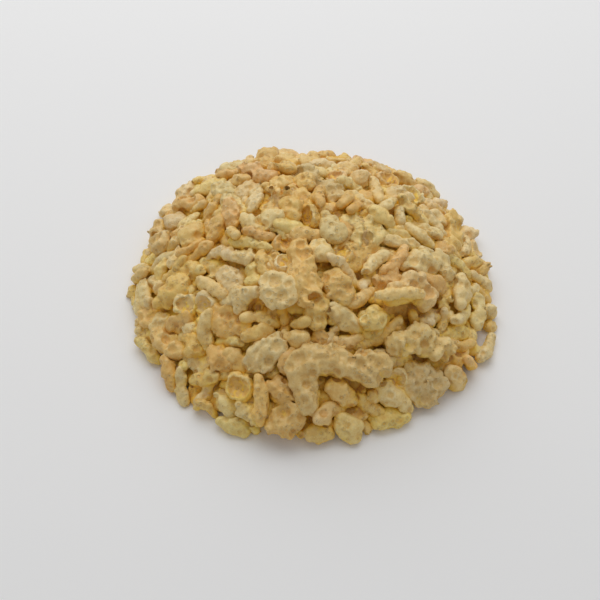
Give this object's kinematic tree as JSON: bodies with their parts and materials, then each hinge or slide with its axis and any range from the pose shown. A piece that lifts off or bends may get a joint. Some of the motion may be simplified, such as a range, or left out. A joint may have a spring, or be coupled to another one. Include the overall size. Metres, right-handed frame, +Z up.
{
  "type": "heap of crisped rice",
  "caption": "Low round heap of loose crisped rice grains, flakes and small cups, lying on a flat surface.",
  "frame": {"origin": "middle of the heap's flat underside, on the surface that it lies on", "axes": "+Z up; the pictured side faces -Y, and +X is to the right in the picture"},
  "size_m": [0.0897, 0.0902, 0.0259],
  "materials": {
    "crisped_rice": "toasted crisped rice: matte, slightly waxy straw yellow, from ivory to peach-tan from piece to piece"
  },
  "bodies": {
    "root": {"crisped_rice_heap": "crisped_rice"}
  },
  "joints": []
}
